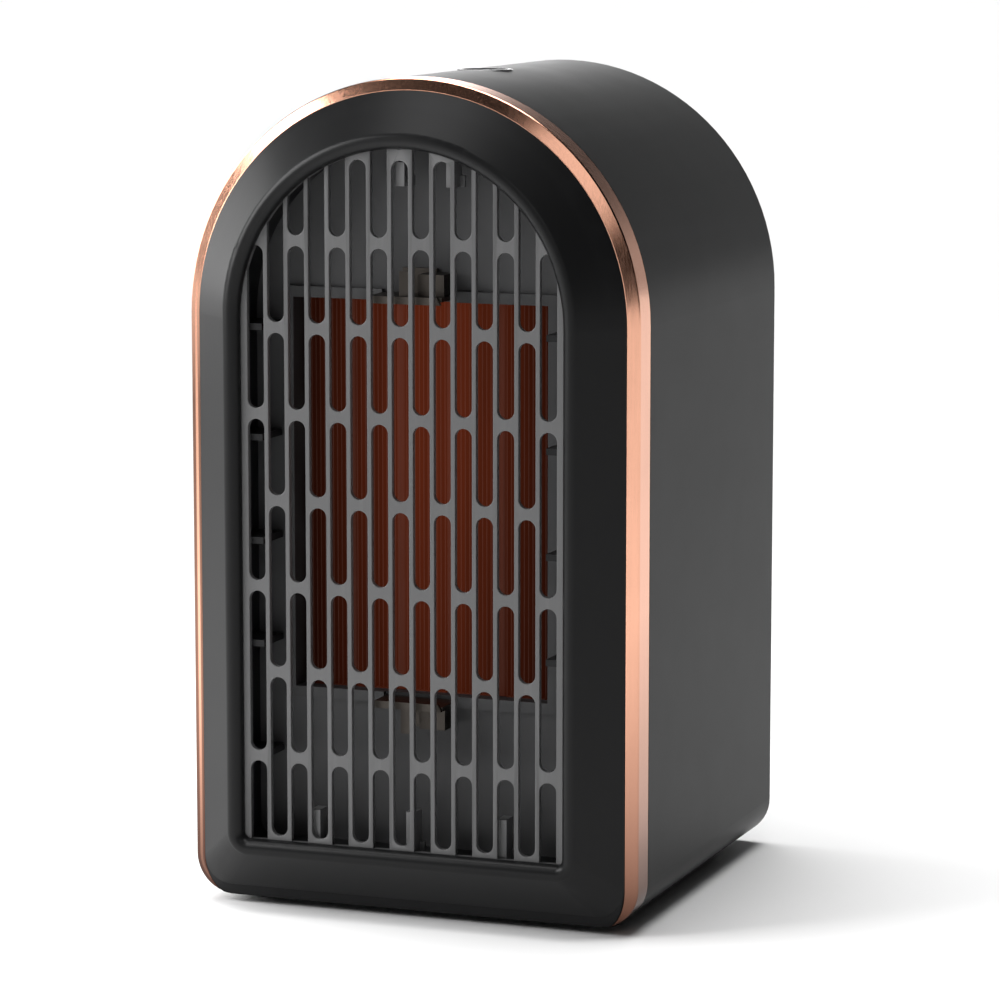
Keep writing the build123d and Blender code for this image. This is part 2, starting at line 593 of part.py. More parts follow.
def element_cap(low, high, groove_low, groove_high):
    """Insulating end bar of the element, slotted for the tube ends."""
    with BuildPart() as cap:
        add(block(-WINDOW_HALF_X + 0.2, WINDOW_HALF_X - 0.2, CORE_FRONT_Y - 1.2, CORE_BACK_Y + 1.2, low, high))
        fillet(cap.edges().filter_by(Axis.X), 0.8)
        for x in tube_centres:
            add(block(x - 1.0, x + 1.0, CORE_FRONT_Y + 3, CORE_BACK_Y - 3, groove_low, groove_high),
                mode=Mode.SUBTRACT)
    return cap.part


with BuildPart() as element_cap_top:
    add(element_cap(fin_high, core_high - 0.2, fin_high, core_high))
element_cap_top.part.label = "element_cap_top"
export_step(element_cap_top.part, "parts/element_cap_top.step")

with BuildPart() as element_cap_bottom:
    add(element_cap(core_low + 0.2, fin_low, core_low, fin_low))
element_cap_bottom.part.label = "element_cap_bottom"
export_step(element_cap_bottom.part, "parts/element_cap_bottom.step")

with BuildPart() as element_terminals:
    for x in tube_centres:
        add(block(x - 0.4, x + 0.4, -41.5, -35.5, core_low - 9, fin_low + 3.0))
element_terminals.part.label = "element_terminals"
export_step(element_terminals.part, "parts/element_terminals.step")


def element_clip(edge_z, sense):
    """Bent steel tray on the frame's front face, with a tab at its front and a folded gusset."""
    def levels(near, far):
        return sorted((edge_z + sense * near, edge_z + sense * far))

    with BuildPart() as clip:
        add(block(-CLIP_HALF, CLIP_HALF, CLIP_FRONT_Y, FRAME_Y, *levels(1.0, 2.2)))
        lip_low, lip_high = levels(0.2, 2.2)
        with BuildSketch(at_y(CLIP_FRONT_Y)):
            with BuildLine():
                Polyline((-CLIP_HALF, lip_low), (CLIP_HALF, lip_low), (CLIP_HALF - 1, lip_high),
                         (-CLIP_HALF + 1, lip_high), close=True)
            make_face()
        extrude(amount=1.0)
        add(block(-CLIP_TAB_HALF, CLIP_TAB_HALF, CLIP_FRONT_Y, CLIP_FRONT_Y + 1.2, *levels(2.2, 9.0)))
        add(block(*CLIP_GUSSET, CLIP_FRONT_Y + 3, FRAME_Y, *levels(2.2, 8.0)))
        add(block(-5, 5, FRAME_Y - 1.0, FRAME_Y, *levels(1.0, 9.0)))
    return clip.part


with BuildPart() as element_clips:
    add(element_clip(window_low, -1))
    add(element_clip(window_high, 1))
element_clips.part.label = "element_clips"
export_step(element_clips.part, "parts/element_clips.step")

with BuildPart() as thermal_cutoff:
    add(rods_y([CUTOFF_POINT], 8.0, FRAME_Y + FRAME_THICK, FRAME_Y + FRAME_THICK + 7.0))
    fillet(thermal_cutoff.edges().filter_by(GeomType.CIRCLE), 0.8)
    for side in (-4.0, 4.0):
        add(block(CUTOFF_POINT[0] + side - 1.6, CUTOFF_POINT[0] + side + 1.6, FRAME_Y + FRAME_THICK + 6,
                  FRAME_Y + FRAME_THICK + 13, CUTOFF_POINT[1] - 0.4, CUTOFF_POINT[1] + 0.4))
thermal_cutoff.part.label = "thermal_cutoff"
export_step(thermal_cutoff.part, "parts/thermal_cutoff.step")

with BuildPart() as thermal_fuse:
    with BuildSketch(Plane.YZ.offset(FUSE_POINT[0] - 6)):
        with Locations((FUSE_POINT[1], FUSE_POINT[2])):
            Circle(2.0)
    extrude(amount=12)
    with BuildSketch(Plane.YZ.offset(FUSE_POINT[0] - 14)):
        with Locations((FUSE_POINT[1], FUSE_POINT[2])):
            Circle(0.5)
    extrude(amount=28)
thermal_fuse.part.label = "thermal_fuse"
export_step(thermal_fuse.part, "parts/thermal_fuse.step")

# ---------------------------------------------------------------- fan and motor

fan_point = (0, CORE_Z)
lug_points = [(LUG_RADIUS * math.cos(math.radians(45 + 90 * i)), CORE_Z + LUG_RADIUS * math.sin(math.radians(45 + 90 * i)))
              for i in range(4)]

with BuildPart() as fan_shroud:
    with BuildSketch(at_y(SHROUD_Y + SHROUD_THICK)):
        add(arch_face(WALL + CLEAR, CORNER_RADIUS - WALL - CLEAR))
        with Locations((0, (BASE_TOP + 8) / 2)):
            Rectangle(94, BASE_TOP + 8, mode=Mode.SUBTRACT)
        with Locations(*SHROUD_POSTS):
            Circle(SCREW_RADIUS + 0.2, mode=Mode.SUBTRACT)
        with Locations(fan_point):
            Circle(SHROUD_RING_RADIUS, mode=Mode.SUBTRACT)
        with Locations((0, WIRE_PASS_Z)):
            Circle(4.0, mode=Mode.SUBTRACT)
        with Locations((0, WIRE_PASS_LOW_Z)):
            Circle(6.5, mode=Mode.SUBTRACT)
    extrude(amount=SHROUD_THICK)
    add(rods_y([fan_point], SHROUD_RING_RADIUS + SHROUD_RING_WALL, SHROUD_Y + 1, SHROUD_BACK_Y))
    add(rods_y(lug_points, LUG_SIZE, SHROUD_Y + 1, SHROUD_BACK_Y))
    add(rods_y([fan_point], SHROUD_RING_RADIUS, SHROUD_Y - 1, SHROUD_BACK_Y + 1), mode=Mode.SUBTRACT)
    add(rods_y(lug_points, PILOT_RADIUS, SHROUD_BACK_Y - 9, SHROUD_BACK_Y), mode=Mode.SUBTRACT)
fan_shroud.part.label = "fan_shroud"
export_step(fan_shroud.part, "parts/fan_shroud.step")

with BuildPart() as shroud_screws:
    add(screws_y(SHROUD_POSTS, SHROUD_Y + SHROUD_THICK, 9.0, 1))
shroud_screws.part.label = "shroud_screws"
export_step(shroud_screws.part, "parts/shroud_screws.step")

with BuildPart() as motor_mount:
    with BuildSketch(at_y(SHROUD_BACK_Y + MOUNT_THICK)):
        with Locations(fan_point):
            Circle(MOTOR_RADIUS)
            with PolarLocations(0, 4, start_angle=45):
                with Locations((LUG_RADIUS / 2, 0)):
                    Rectangle(LUG_RADIUS, 6.0)
        with Locations(*lug_points):
            Circle(LUG_SIZE)
            Circle(SCREW_RADIUS + 0.2, mode=Mode.SUBTRACT)
        with Locations(fan_point):
            Circle(6.0, mode=Mode.SUBTRACT)
            with PolarLocations(MOTOR_SCREW_RING, 2, start_angle=0):
                Circle(SCREW_RADIUS + 0.2, mode=Mode.SUBTRACT)
    extrude(amount=MOUNT_THICK)
motor_mount.part.label = "motor_mount"
export_step(motor_mount.part, "parts/motor_mount.step")

with BuildPart() as mount_screws:
    add(screws_y(lug_points, SHROUD_BACK_Y + MOUNT_THICK, 8.0, 1))
mount_screws.part.label = "mount_screws"
export_step(mount_screws.part, "parts/mount_screws.step")

motor_screw_points = [(MOTOR_SCREW_RING, CORE_Z), (-MOTOR_SCREW_RING, CORE_Z)]
with BuildPart() as motor_screws:
    add(screws_y(motor_screw_points, SHROUD_BACK_Y, 4.5, -1))
motor_screws.part.label = "motor_screws"
export_step(motor_screws.part, "parts/motor_screws.step")

with BuildPart() as motor_can:
    add(rods_y([fan_point], MOTOR_RADIUS, MOTOR_FRONT_Y, MOTOR_BACK_Y - 2))
    fillet(motor_can.edges().filter_by_position(Axis.Y, MOTOR_FRONT_Y - 0.01, MOTOR_FRONT_Y + 0.01), 1.5)
    add(rods_y([fan_point], MOTOR_RADIUS - 1.5, MOTOR_FRONT_Y + 2, MOTOR_BACK_Y), mode=Mode.SUBTRACT)
    add(rods_y([fan_point], BEARING_RADIUS, MOTOR_FRONT_Y - 1, MOTOR_FRONT_Y + 3), mode=Mode.SUBTRACT)
    add(rods_y(motor_screw_points, SCREW_RADIUS + 0.1, MOTOR_FRONT_Y - 1, MOTOR_FRONT_Y + 3), mode=Mode.SUBTRACT)
motor_can.part.label = "motor_can"
export_step(motor_can.part, "parts/motor_can.step")

with BuildPart() as motor_end_plate:
    add(rods_y([fan_point], MOTOR_RADIUS, MOTOR_BACK_Y - 2, MOTOR_BACK_Y))
    add(rods_y([fan_point], BEARING_RADIUS + 2, MOTOR_BACK_Y, MOTOR_BACK_Y + 2.5))
    add(rods_y([fan_point], BEARING_RADIUS, MOTOR_BACK_Y - 3, MOTOR_BACK_Y + 1.5), mode=Mode.SUBTRACT)
motor_end_plate.part.label = "motor_end_plate"
export_step(motor_end_plate.part, "parts/motor_end_plate.step")

with BuildPart() as motor_bearings:
    add(rods_y([fan_point], BEARING_RADIUS, MOTOR_FRONT_Y, MOTOR_FRONT_Y + 2))
    add(rods_y([fan_point], BEARING_RADIUS, MOTOR_BACK_Y - 2, MOTOR_BACK_Y + 1.5))
    add(rods_y([fan_point], SHAFT_RADIUS + SHAFT_FIT, MOTOR_FRONT_Y - 1, MOTOR_BACK_Y + 2), mode=Mode.SUBTRACT)
motor_bearings.part.label = "motor_bearings"
export_step(motor_bearings.part, "parts/motor_bearings.step")

with BuildPart() as motor_stator:
    add(rods_y([fan_point], MOTOR_RADIUS - 1.6, MOTOR_FRONT_Y + 5, MOTOR_BACK_Y - 5))
    add(rods_y([fan_point], 12.0, MOTOR_FRONT_Y, MOTOR_BACK_Y), mode=Mode.SUBTRACT)
motor_stator.part.label = "motor_stator"
export_step(motor_stator.part, "parts/motor_stator.step")

with BuildPart() as motor_rotor:
    add(rods_y([fan_point], 11.2, MOTOR_FRONT_Y + 5, MOTOR_BACK_Y - 5))
    add(rods_y([fan_point], SHAFT_RADIUS, MOTOR_FRONT_Y, MOTOR_BACK_Y), mode=Mode.SUBTRACT)
motor_rotor.part.label = "motor_rotor"
export_step(motor_rotor.part, "parts/motor_rotor.step")

with BuildPart() as motor_shaft:
    add(rods_y([fan_point], SHAFT_RADIUS, FAN_FRONT_Y + 1.5, MOTOR_BACK_Y + 1.0))
motor_shaft.part.label = "motor_shaft"
export_step(motor_shaft.part, "parts/motor_shaft.step")

with BuildPart() as fan_impeller:
    add(rods_y([fan_point], FAN_HUB, FAN_FRONT_Y, FAN_BACK_Y))
    nose = fan_impeller.edges().filter_by_position(Axis.Y, FAN_FRONT_Y - 0.01, FAN_FRONT_Y + 0.01)
    fillet(nose, 3.0)
    for index in range(FAN_BLADES):
        turn = 360.0 / FAN_BLADES * index
        for radius, pitch, chord, sweep_angle in ((FAN_HUB - 2, 42, 15, 0), (30, 32, 24, 6), (FAN_TIP, 24, 32, 14)):
            station = Plane(origin=(0, (FAN_FRONT_Y + FAN_BACK_Y) / 2, CORE_Z)).rotated((0, turn + sweep_angle, 0))
            plane = Plane(origin=station.origin + station.z_dir * radius, x_dir=station.x_dir, z_dir=station.z_dir)
            with BuildSketch(plane):
                SlotOverall(chord, 1.6, rotation=pitch)
        loft()
    add(rods_y([fan_point], FAN_TIP + 1, FAN_FRONT_Y, FAN_BACK_Y), mode=Mode.INTERSECT)
    add(rods_y([fan_point], SHAFT_RADIUS, FAN_FRONT_Y + 1.5, FAN_BACK_Y + 1), mode=Mode.SUBTRACT)
    with BuildSketch(at_y(FAN_BACK_Y)):
        with Locations(fan_point):
            Circle(FAN_HUB - 2)
            Circle(SHAFT_RADIUS + 2.5, mode=Mode.SUBTRACT)
    extrude(amount=10, mode=Mode.SUBTRACT)
fan_impeller.part.label = "fan_impeller"
export_step(fan_impeller.part, "parts/fan_impeller.step")

# ---------------------------------------------------------------- controls

with BuildPart() as control_board:
    add(block(-BOARD_HALF_X, BOARD_HALF_X, BOARD_Y - BOARD_HALF_Y, BOARD_Y + BOARD_HALF_Y,
              BOARD_Z, BOARD_Z + BOARD_THICK))
    add(rods_z(BOARD_POSTS, SCREW_RADIUS, BOARD_Z, BOARD_Z + BOARD_THICK), mode=Mode.SUBTRACT)
control_board.part.label = "control_board"
export_step(control_board.part, "parts/control_board.step")

with BuildPart() as board_screws:
    add(rods_z(BOARD_POSTS, 2.4, BOARD_Z - 1.5, BOARD_Z))
    add(rods_z(BOARD_POSTS, 1.0, BOARD_Z, BOARD_Z + 7))
board_screws.part.label = "board_screws"
export_step(board_screws.part, "parts/board_screws.step")

with BuildPart() as tact_switch:
    add(block(-6, 6, -6, 6, BOARD_Z + BOARD_THICK, BOARD_Z + BOARD_THICK + 3.5))
    add(rods_z([(0, 0)], 1.8, BOARD_Z + BOARD_THICK + 1.0, BOARD_Z + BOARD_THICK + 4), mode=Mode.SUBTRACT)
tact_switch.part.label = "tact_switch"
export_step(tact_switch.part, "parts/tact_switch.step")

tact_top = BOARD_Z + BOARD_THICK + 4.5
with BuildPart() as tact_plunger:
    add(rods_z([(0, 0)], 1.7, BOARD_Z + BOARD_THICK + 2.0, tact_top))
tact_plunger.part.label = "tact_plunger"
export_step(tact_plunger.part, "parts/tact_plunger.step")

with BuildPart() as button_cap:
    add(rods_z([(0, 0)], BUTTON_RADIUS, 226.2, BUTTON_TOP))
    fillet(button_cap.edges().filter_by_position(Axis.Z, BUTTON_TOP - 0.01, BUTTON_TOP + 0.01), 0.5)
    add(rods_z([(0, 0)], 2.0, tact_top, 226.2))
    add(rods_z([(0, 0)], 3.4, tact_top + 3.2, tact_top + 4.2))
button_cap.part.label = "button_cap"
export_step(button_cap.part, "parts/button_cap.step")

with BuildPart() as button_ring:
    add(rods_z([(0, 0)], BUTTON_RING_RADIUS, 225.0, HEIGHT))
    fillet(button_ring.edges().filter_by_position(Axis.Z, HEIGHT - 0.01, HEIGHT + 0.01), 0.4)
    add(rods_z([(0, 0)], BUTTON_RADIUS + BUTTON_FIT, 224.0, HEIGHT + 1), mode=Mode.SUBTRACT)
button_ring.part.label = "button_ring"
export_step(button_ring.part, "parts/button_ring.step")

with BuildPart() as power_relay:
    add(block(8, 21, 1, 17, BOARD_Z - 11, BOARD_Z))
    fillet(power_relay.edges().filter_by(Axis.Z), 0.6)
power_relay.part.label = "power_relay"
export_step(power_relay.part, "parts/power_relay.step")

with BuildPart() as capacitor:
    add(rods_z([(-12, 8)], 5.0, BOARD_Z - 12, BOARD_Z))
    fillet(capacitor.edges().filter_by_position(Axis.Z, BOARD_Z - 12.01, BOARD_Z - 11.99), 0.8)
capacitor.part.label = "capacitor"
export_step(capacitor.part, "parts/capacitor.step")

with BuildPart() as board_connectors:
    for x in CONNECTOR_X:
        add(block(x - 4, x + 4, CONNECTOR_Y - 3.2, CONNECTOR_Y + 3.2, BOARD_Z - 7, BOARD_Z))
board_connectors.part.label = "board_connectors"
export_step(board_connectors.part, "parts/board_connectors.step")


def wire(points, radius):
    """Round wire along a smooth line through the points."""
    with BuildPart() as lead:
        with BuildLine() as line:
            Spline(*points)
        with BuildSketch(Plane(origin=line.line @ 0, z_dir=line.line % 0)):
            Circle(radius)
        sweep()
    return lead.part


with BuildPart() as heater_wires:
    for index, x in enumerate(tube_centres):
        step = (index - 1.5) * 2.5
        add(wire([(x, -38.5, core_low - 10.4), (x * 0.6, -36.0, core_low - 17), (step, -24.0, WIRE_PASS_LOW_Z),
                  (step + 2, -12.0, WIRE_PASS_LOW_Z), (34, 4.0 + step, WIRE_PASS_LOW_Z + 2),
                  (57.5, 16.0 + step, WIRE_PASS_LOW_Z + 30), (58.5, 16.0 + step, CORE_Z),
                  (57.0, 16.0 + step, ARCH_Z), (38.0, 20.0 + step, ARCH_Z + 32)], 1.1))
heater_wires.part.label = "heater_wires"
export_step(heater_wires.part, "parts/heater_wires.step")

with BuildPart() as motor_wires:
    for side in (-1.5, 1.5):
        add(wire([(side, MOTOR_BACK_Y - 3, CORE_Z + MOTOR_RADIUS + 1.2), (side, 27.0, CORE_Z + 32),
                  (side, 24.0, CORE_Z + 60), (side, 4.0, BOARD_Z - 24), (side, CONNECTOR_Y, BOARD_Z - 15),
                  (side, CONNECTOR_Y, BOARD_Z - 7.4)], 0.9))
motor_wires.part.label = "motor_wires"
export_step(motor_wires.part, "parts/motor_wires.step")
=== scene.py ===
import bmesh
import bpy
import math
from mathutils import Matrix, Vector


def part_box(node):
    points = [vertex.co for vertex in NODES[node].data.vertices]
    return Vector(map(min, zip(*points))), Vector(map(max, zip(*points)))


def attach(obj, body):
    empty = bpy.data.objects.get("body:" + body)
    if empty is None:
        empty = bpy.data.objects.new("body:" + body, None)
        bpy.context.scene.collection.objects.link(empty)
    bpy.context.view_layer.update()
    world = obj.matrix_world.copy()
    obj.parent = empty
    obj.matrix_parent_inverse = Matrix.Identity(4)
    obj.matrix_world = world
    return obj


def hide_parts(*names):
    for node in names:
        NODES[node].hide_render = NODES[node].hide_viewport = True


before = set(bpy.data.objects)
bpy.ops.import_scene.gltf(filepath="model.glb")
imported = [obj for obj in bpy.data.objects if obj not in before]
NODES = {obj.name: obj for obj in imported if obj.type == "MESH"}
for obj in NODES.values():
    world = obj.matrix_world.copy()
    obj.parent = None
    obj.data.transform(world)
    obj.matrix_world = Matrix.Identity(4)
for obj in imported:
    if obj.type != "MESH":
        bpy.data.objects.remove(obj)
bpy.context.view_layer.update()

bl_info = {
    "name": "Arched Ceramic Heater",
    "version": (1, 0, 0),
    "blender": (4, 5, 0),
    "location": "View3D > Sidebar > Heater",
    "description": "Finishes, detailed pieces and stage for an arched ceramic desk heater",
    "category": "Object",
}

MM = 0.001


def low(node):
    """Lowest corner of a fixed node, in metres."""
    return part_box(node)[0]


def high(node):
    """Highest corner of a fixed node, in metres."""
    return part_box(node)[1]


TRIM_TIP = low("trim_strip").y
WINDOW_MIDDLE = (low("fin_packs") + high("fin_packs")) / 2

# finishes: pattern cells per metre, depths in metres
GRAIN_CELLS = 1800.0
GRAIN_DEPTH = 0.00001
SPECKLE = 0.08
POLISHED_CELLS = 900.0
POLISHED_DEPTH = 0.000002
GLOSS_CELLS = 22.0
SMUDGE_CELLS = 75.0
GLOSS_SWING = 0.012
SMUDGE_SWING = (-0.006, 0.010)
# colour lifted along sharp convex edges: the pointiness over which it rises, and the lift
EDGE_LIFT_POINTINESS = (0.52, 0.60)
EDGE_LIFT_FACTOR = 1.8
BRUSH_CELLS = 900.0
BRUSH_DEPTH = 0.000004
BRUSH_GLOSS = (-0.02, 0.04)
TARNISH_CELLS = 40.0
TARNISH = (0.9, 1.06)

# plating of the strip: painted shade makes it near black at its foot and on its left flank below the arch, and
# a painted highlight line runs along the front of the shaded flank
PLATE_SHADE = (0.05, 0.02, 0.014)
PLATE_LINES = 2600.0
PLATE_LINE_DEPTH = 0.000001
PLATE_STAIN_CELLS = 30.0
PLATE_STAIN = 0.92
PLATE_GLOSS = (-0.03, 0.05)
# painted shade at the foot: how dark it gets, and the heights over which it fades out
FOOT_SHADE = 0.07
FOOT_SHADE_RISE = (4 * MM, 88 * MM)
# painted shade on the left flank: how dark it gets, across which X it fades, and the heights over which it
# clears
FLANK_SHADE = 0.22
FLANK_SHADE_WIDTH = (-62.5 * MM, -50 * MM)
FLANK_SHADE_CLEARS = (130 * MM, 178 * MM)
# painted highlight line: where it rises and where it falls, behind the strip's front tip
HIGHLIGHT_STARTS = (TRIM_TIP + 0.35 * MM, TRIM_TIP + 0.6 * MM)
HIGHLIGHT_ENDS = (TRIM_TIP + 0.95 * MM, TRIM_TIP + 1.2 * MM)

# painted glow of the element, which is no lamp
GLOW_MIDDLE_X = WINDOW_MIDDLE.x + 3 * MM
GLOW_ACROSS = (2 * MM, 36 * MM)
GLOW_AT_SIDES = 0.16
GLOW_ALONG = (WINDOW_MIDDLE.z - 55 * MM, WINDOW_MIDDLE.z + 10 * MM)
GLOW_AT_FOOT = 0.6
FOIL_BANDS = (0.82, 1.12)
BAND_CELLS = 900.0

# power mark: radius of the ring, width of its line, heights of its faces from the cap's top, the gap on each
# side of its opening, and the ends of its bar in ring radii
MARK_RADIUS = 2.9 * MM
MARK_LINE = 0.55 * MM
MARK_PROUD = 0.04 * MM
MARK_SUNK = 0.2 * MM
MARK_GAP = math.radians(32.0)
MARK_STEPS = 48
BAR_FROM = 0.12
BAR_TO = 1.12

# new pieces
MERGE_DISTANCE = 0.002 * MM
SMOOTH_BELOW = math.radians(30.0)

# stage
CAMERA_PLACE = (0.41319, -1.09202, 0.28191)
CAMERA_TURN = (math.radians(90 - 8.45), 0.0, math.radians(20.518))
SENSOR_WIDTH = 36.0
CLIPPING = (0.05, 200.0)
BODY_MIDDLE = (0.0, -0.03, 0.12)
# name, place, aim, width and height in metres, and power in watts
SOFT_LIGHTS = (
    ("Left Softbox", (-0.38, -0.32, 0.34), (-0.03, -0.05, 0.13), 0.26, 0.34, 3.1),
    ("Left Strip", (-0.80, 0.10, 0.34), BODY_MIDDLE, 0.35, 0.45, 2.4),
    ("Front Fill", (0.42, -1.05, 0.80), BODY_MIDDLE, 0.55, 0.62, 1.1),
)
OVERHEAD_POWER = 3.35
OVERHEAD_ANGLE = math.radians(50.0)
OVERHEAD_TURN = (math.radians(-6.0), math.radians(-5.0), 0.0)
# surroundings along each axis: strength at the low and the high end, then where the two ends are
SKY_BACK = (0.10, 1.0, 0.2, 0.75)
SKY_HEIGHT = (3.2, 0.08, 0.12, 0.30)
SKY_SIDE = (1.0, 0.12, -0.15, 0.18)


class HeaterSizes(bpy.types.PropertyGroup):
    """Sizes of the detailed pieces."""

    edge_round: bpy.props.FloatProperty(
        name="Edge Round", description="Most that the rear cover's edges are rounded; its short edges limit it",
        default=0.28 * MM, min=0.0, unit="LENGTH")
    bar_round: bpy.props.FloatProperty(
        name="Bar Round", description="Radius of the grille's edges in its finish; its mesh stays sharp",
        default=0.3 * MM, min=0.0, unit="LENGTH")
    trim_round: bpy.props.FloatProperty(
        name="Trim Round", description="Rounding between the two faces of the bright strip",
        default=0.35 * MM, min=0.0, unit="LENGTH")
    # strength of the element's painted glow
    painted_glow_strength: bpy.props.FloatProperty(
        name="Glow Strength", description="Light given off by the peak of the element's painted glow",
        default=0.09, min=0.0)
    floor_width: bpy.props.FloatProperty(
        name="Floor Width", description="Side of the pale studio floor",
        default=60.0, min=1.0, unit="LENGTH")
    lens: bpy.props.FloatProperty(
        name="Lens", description="Focal length of the camera", default=150.06, min=10.0, unit="CAMERA")


class HeaterColours(bpy.types.PropertyGroup):
    """Colours of the finishes."""

    housing: bpy.props.FloatVectorProperty(
        name="Housing", description="Satin black of the housing", subtype="COLOR", size=3,
        min=0.0, max=1.0, default=(0.0080, 0.0080, 0.0083))
    bezel: bpy.props.FloatVectorProperty(
        name="Bezel", description="Satin black of the sloped front", subtype="COLOR", size=3,
        min=0.0, max=1.0, default=(0.0062, 0.0063, 0.0066))
    trim: bpy.props.FloatVectorProperty(
        name="Trim", description="Rose gold of the strip", subtype="COLOR", size=3,
        min=0.0, max=1.0, default=(0.92, 0.48, 0.33))
    grille: bpy.props.FloatVectorProperty(
        name="Grille", description="Grey of the outlet grille", subtype="COLOR", size=3,
        min=0.0, max=1.0, default=(0.062, 0.062, 0.063))
    frame_grey: bpy.props.FloatVectorProperty(
        name="Inner Frame", description="Grey of the frame round the element", subtype="COLOR", size=3,
        min=0.0, max=1.0, default=(0.034, 0.034, 0.035))
    # colour of the element's painted glow
    glow: bpy.props.FloatVectorProperty(
        name="Glow", description="Colour of the element's painted glow", subtype="COLOR", size=3,
        min=0.0, max=1.0, default=(1.0, 0.17, 0.06))
    floor: bpy.props.FloatVectorProperty(
        name="Floor", description="Pale studio floor", subtype="COLOR", size=3,
        min=0.0, max=1.0, default=(0.92, 0.92, 0.92))


# ------------------------------------------------------------------ finishes

def finish(name):
    """A new node material with only a Principled shader and an output; returns tree, shader and material."""
    material = bpy.data.materials.new(name)
    material.use_nodes = True
    tree = material.node_tree
    tree.nodes.clear()
    output = tree.nodes.new("ShaderNodeOutputMaterial")
    shader = tree.nodes.new("ShaderNodeBsdfPrincipled")
    tree.links.new(shader.outputs["BSDF"], output.inputs["Surface"])
    return tree, shader, material


def place(tree, stretch=(1, 1, 1)):
    """Object coordinates, stretched per axis."""
    coordinates = tree.nodes.new("ShaderNodeTexCoord")
    mapping = tree.nodes.new("ShaderNodeMapping")
    mapping.inputs["Scale"].default_value = stretch
    tree.links.new(coordinates.outputs["Object"], mapping.inputs["Vector"])
    return mapping.outputs["Vector"]


def noise(tree, vector, scale, detail=3.0):
    """Noise of a given number of cells per metre."""
    node = tree.nodes.new("ShaderNodeTexNoise")
    node.inputs["Scale"].default_value = scale
    node.inputs["Detail"].default_value = detail
    node.inputs["Roughness"].default_value = 0.55
    tree.links.new(vector, node.inputs["Vector"])
    return node.outputs["Fac"]


def spread(tree, value, low_out, high_out, low_in=0.3, high_in=0.7):
    """Maps a value range onto another range."""
    node = tree.nodes.new("ShaderNodeMapRange")
    node.inputs["From Min"].default_value = low_in
    node.inputs["From Max"].default_value = high_in
    node.inputs["To Min"].default_value = low_out
    node.inputs["To Max"].default_value = high_out
    tree.links.new(value, node.inputs["Value"])
    return node.outputs["Result"]


def tint(tree, value, first, second):
    """Colour between two ends."""
    node = tree.nodes.new("ShaderNodeMix")
    node.data_type = "RGBA"
    node.inputs["A"].default_value = (*first, 1.0)
    node.inputs["B"].default_value = (*second, 1.0)
    tree.links.new(value, node.inputs["Factor"])
    return node.outputs["Result"]


def combined(tree, operation, first, second):
    """Two values joined by an arithmetic operation; the second may be a number."""
    node = tree.nodes.new("ShaderNodeMath")
    node.operation = operation
    tree.links.new(first, node.inputs[0])
    if isinstance(second, float):
        node.inputs[1].default_value = second
    else:
        tree.links.new(second, node.inputs[1])
    return node.outputs["Value"]


def product(tree, first, second):
    """Two values multiplied; the second may be a number."""
    return combined(tree, "MULTIPLY", first, second)


def bump(tree, value, depth, under=None):
    """Bump of a given depth in metres, over another normal where one is given."""
    node = tree.nodes.new("ShaderNodeBump")
    node.inputs["Distance"].default_value = depth
    node.inputs["Strength"].default_value = 1.0
    tree.links.new(value, node.inputs["Height"])
    if under is not None:
        tree.links.new(under, node.inputs["Normal"])
    return node.outputs["Normal"]


def shade(colour, factor):
    """Lighter or darker copy of a colour."""
    return tuple(min(1.0, part * factor) for part in colour)


def moulded(name, colour, rough, grain=GRAIN_CELLS, grain_depth=GRAIN_DEPTH, shine=0.5, eased=0.0):
    """Moulded plastic: fine spark-eroded grain, slow gloss changes and colour lifted slightly along sharp
    convex edges.

    A shine below 0.5 reflects less than plain plastic does; eased rounds the edges in the shading."""
    tree, shader, material = finish(name)
    vector = place(tree)
    fine = noise(tree, vector, grain, 2.0)
    slow = noise(tree, vector, GLOSS_CELLS, 4.0)
    smudge = noise(tree, vector, SMUDGE_CELLS)
    edge = tree.nodes.new("ShaderNodeNewGeometry").outputs["Pointiness"]
    # colour lighter along sharp convex edges
    convex_edge_mask = spread(tree, edge, 0.0, 1.0, *EDGE_LIFT_POINTINESS)
    darker, lighter = shade(colour, 1 - SPECKLE), shade(colour, 1 + SPECKLE)
    body = tint(tree, spread(tree, slow, 0.0, 1.0), darker, lighter)
    edge_lifted = tree.nodes.new("ShaderNodeMix")
    edge_lifted.data_type = "RGBA"
    edge_lifted.inputs["B"].default_value = (*shade(colour, EDGE_LIFT_FACTOR), 1.0)
    tree.links.new(convex_edge_mask, edge_lifted.inputs["Factor"])
    tree.links.new(body, edge_lifted.inputs["A"])
    tree.links.new(edge_lifted.outputs["Result"], shader.inputs["Base Color"])
    gloss = combined(tree, "ADD", spread(tree, slow, rough - GLOSS_SWING, rough + GLOSS_SWING),
                   spread(tree, smudge, *SMUDGE_SWING))
    tree.links.new(gloss, shader.inputs["Roughness"])
    under = None
    if eased:
        rounding = tree.nodes.new("ShaderNodeBevel")
        rounding.samples = 6
        rounding.inputs["Radius"].default_value = eased
        under = rounding.outputs["Normal"]
    tree.links.new(bump(tree, fine, grain_depth, under), shader.inputs["Normal"])
    shader.inputs["Specular IOR Level"].default_value = shine
    return material


